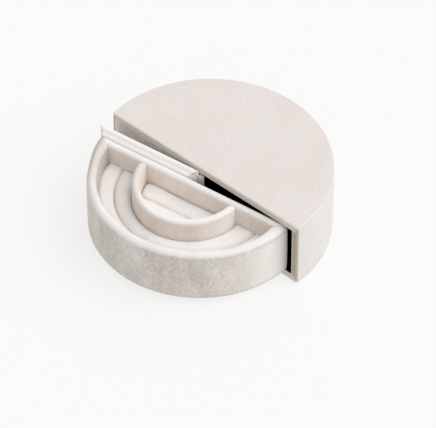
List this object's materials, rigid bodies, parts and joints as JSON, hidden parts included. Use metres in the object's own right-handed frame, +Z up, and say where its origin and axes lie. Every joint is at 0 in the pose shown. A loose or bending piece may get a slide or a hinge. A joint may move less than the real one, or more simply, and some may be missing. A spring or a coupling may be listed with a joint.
{
  "type": "ring box with swing-out tray",
  "caption": "Half-round velvet ring box: a flat half-drum housing and a half-round ring tray that swings out on an upright cloth hinge.",
  "frame": {"origin": "centre of the half drum's circle on the surface the housing stands on", "axes": "+X to the right along the flat front, +Y to the curved back, +Z up"},
  "size_m": [0.1203, 0.1196, 0.0386],
  "materials": {
    "velvet": "matte",
    "roll_velvet": "matte",
    "board": "matte",
    "foam": "matte",
    "dark_lining": "matte"
  },
  "bodies": {
    "housing": {"base_board": "board", "top_board": "board", "side_board": "board", "front_board": "board", "lining_base": "dark_lining", "lining_top": "dark_lining", "lining_side": "dark_lining", "base_velvet": "velvet", "top_velvet": "velvet", "mouth_binding": "velvet", "side_velvet": "velvet", "front_velvet": "velvet", "hinge_fixed_cloth": "velvet"},
    "tray": {"cover_board": "board", "tray_base_board": "board", "outer_wall_board": "board", "back_wall_board": "board", "ring_wall_board": "board", "hinge_moving_cloth": "velvet", "cover_velvet": "velvet", "outer_wall_velvet": "velvet", "back_wall_velvet": "velvet", "ring_wall_velvet": "velvet", "tray_base_velvet": "velvet", "outer_roll_velvet": "roll_velvet", "inner_roll_velvet": "roll_velvet", "middle_back_roll_velvet": "roll_velvet", "middle_front_roll_velvet": "roll_velvet", "cover_foam": "foam", "outer_roll_foam": "foam", "inner_roll_foam": "foam", "middle_back_roll_foam": "foam", "middle_front_roll_foam": "foam"}
  },
  "joints": [
    {"name": "tray_swing", "type": "hinge", "parent": "housing", "child": "tray", "pos_m": [-0.0016, -0.0062, 0], "axis": [0, 0, 1], "range_deg": [-6.9, 172.6]}
  ]
}
